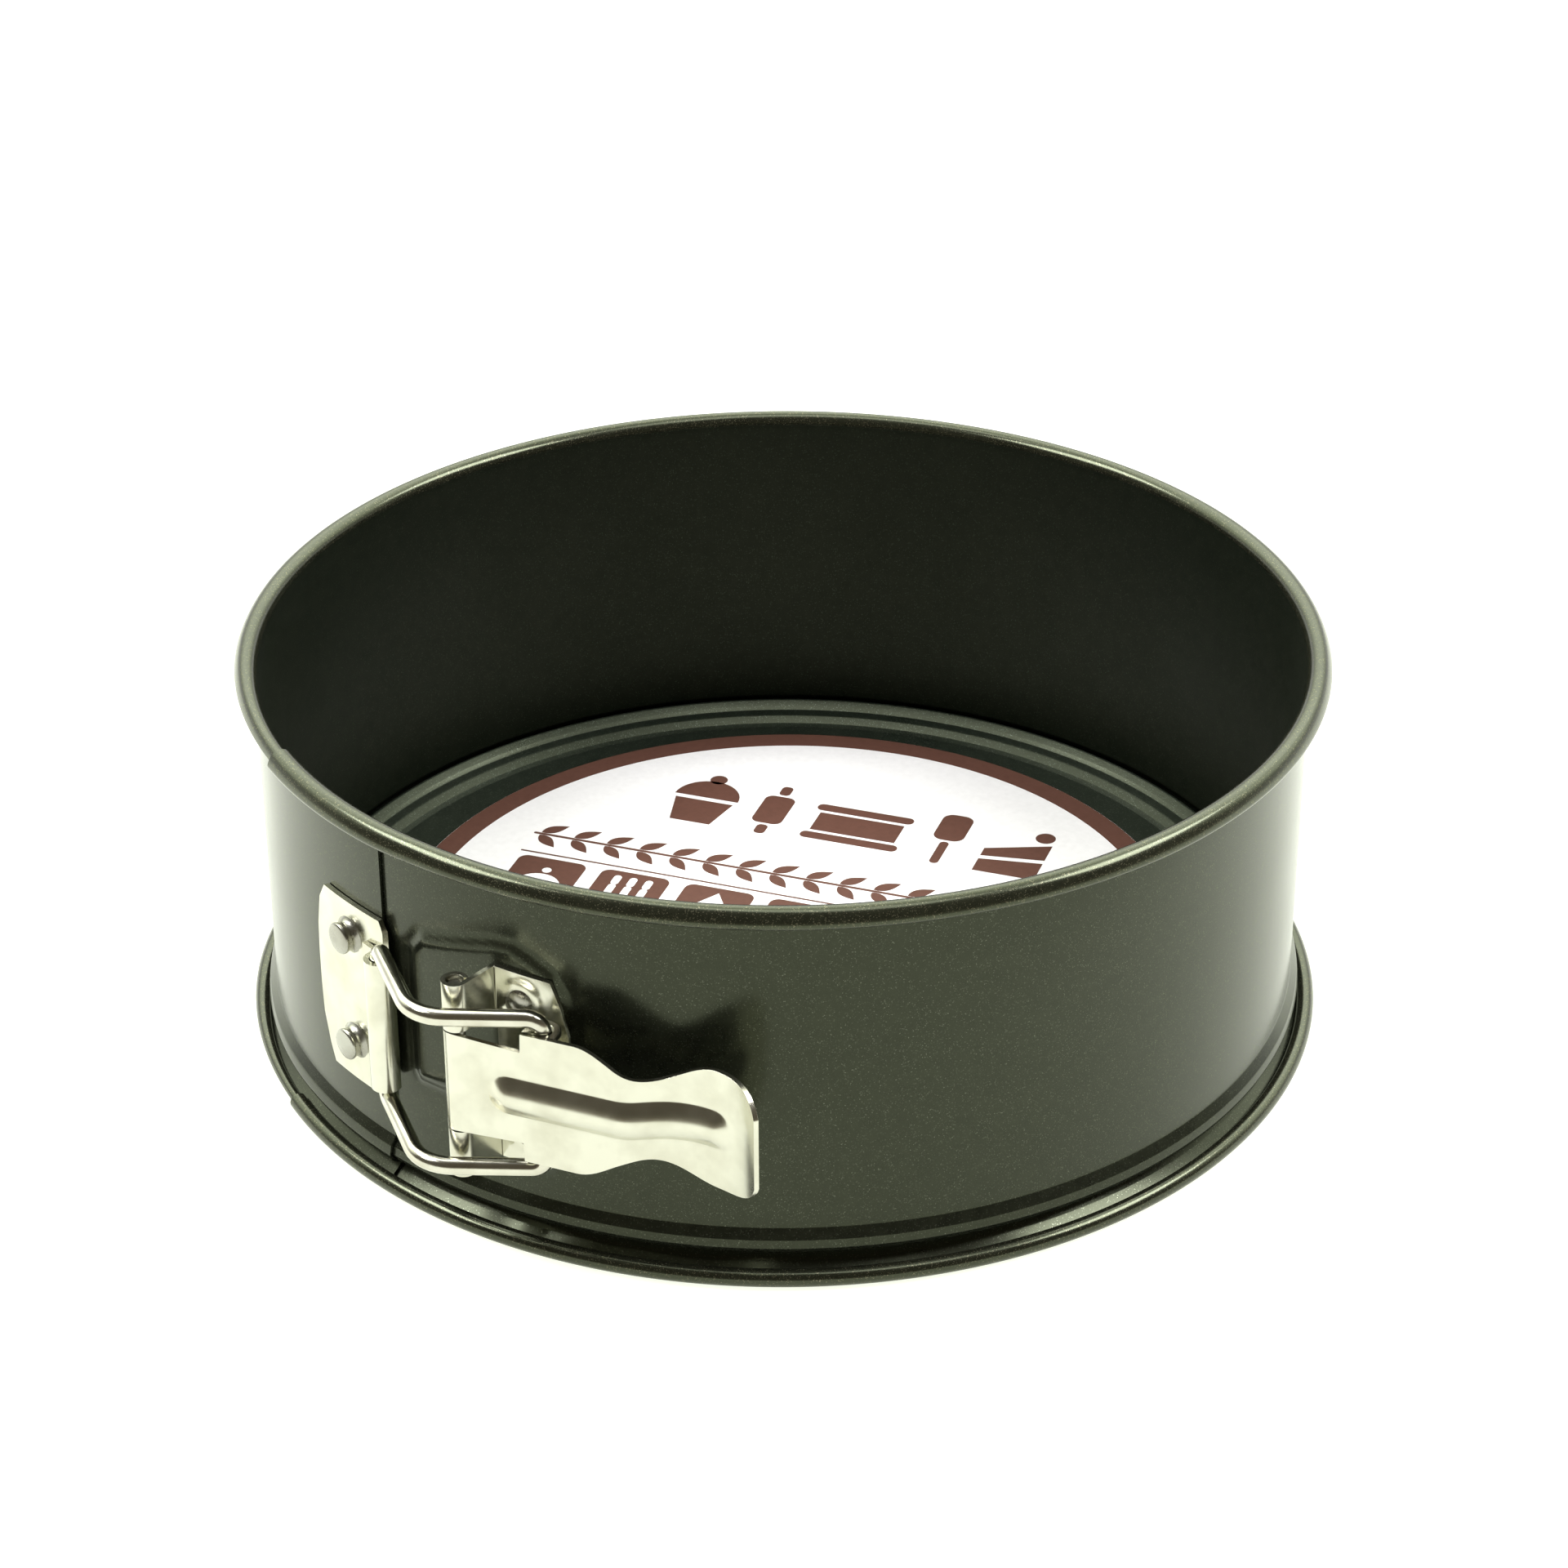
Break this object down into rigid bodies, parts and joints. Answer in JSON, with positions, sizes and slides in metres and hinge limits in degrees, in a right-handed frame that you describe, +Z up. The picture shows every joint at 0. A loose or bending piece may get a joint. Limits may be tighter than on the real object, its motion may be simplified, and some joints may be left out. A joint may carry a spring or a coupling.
{
  "type": "springform pan",
  "caption": "Round springform cake pan: split coated-steel band with an over-centre wire-bail latch, and a lift-out base plate with a round paper label.",
  "frame": {"origin": "on the pan's axis, in the plane that the rolled foot rests on", "axes": "+Z up along the pan's axis; the latch faces -Y; +X is to the right when facing the latch"},
  "size_m": [0.19, 0.2005, 0.0699],
  "materials": {
    "band_coating": "semi-gloss dark non-stick coating with fine metallic flecks",
    "base_coating": "semi-gloss dark non-stick coating",
    "label_paper": "coated paper, white with a brown border",
    "plated_sheet": "bright tin-plated steel sheet",
    "plated_wire": "bright plated steel wire",
    "rivet_steel": "plated steel rivets, satin ends"
  },
  "bodies": {
    "band": {"side_band_lever_half": "band_coating", "lever_bracket": "plated_sheet", "bracket_rivet_upper": "rivet_steel", "bracket_rivet_lower": "rivet_steel", "hinge_pin": "rivet_steel"},
    "lever": {"lever": "plated_sheet"},
    "catch_band": {"side_band_catch_half": "band_coating", "catch_plate": "plated_sheet", "catch_rivet_upper": "rivet_steel", "catch_rivet_lower": "rivet_steel"},
    "bail": {"bail_wire": "plated_wire"},
    "base": {"base_plate": "base_coating", "label_disc": "label_paper"}
  },
  "joints": [
    {"name": "lever_swing", "type": "hinge", "parent": "band", "child": "lever", "pos_m": [-0.00258, -0.09837, 0.0342], "axis": [0, 0, -1], "range_deg": [0, 120]},
    {"name": "band_flex", "type": "hinge", "parent": "band", "child": "catch_band", "pos_m": [0.02485, 0.09273, 0.0342], "axis": [0, 0, -1], "range_deg": [0, 3.4]},
    {"name": "bail_swing", "type": "hinge", "parent": "catch_band", "child": "bail", "pos_m": [-0.02199, -0.0916, 0.0342], "axis": [0, 0, -1], "range_deg": [0, 32.7]},
    {"name": "base_lift", "type": "slide", "parent": "band", "child": "base", "axis": [0, 0, 1], "range_m": [0, 0.08]}
  ],
  "couplings": [
    {"joint": "band_flex", "follows": "lever_swing", "ratio": 0.028212},
    {"joint": "bail_swing", "follows": "lever_swing", "ratio": 0.27223}
  ]
}
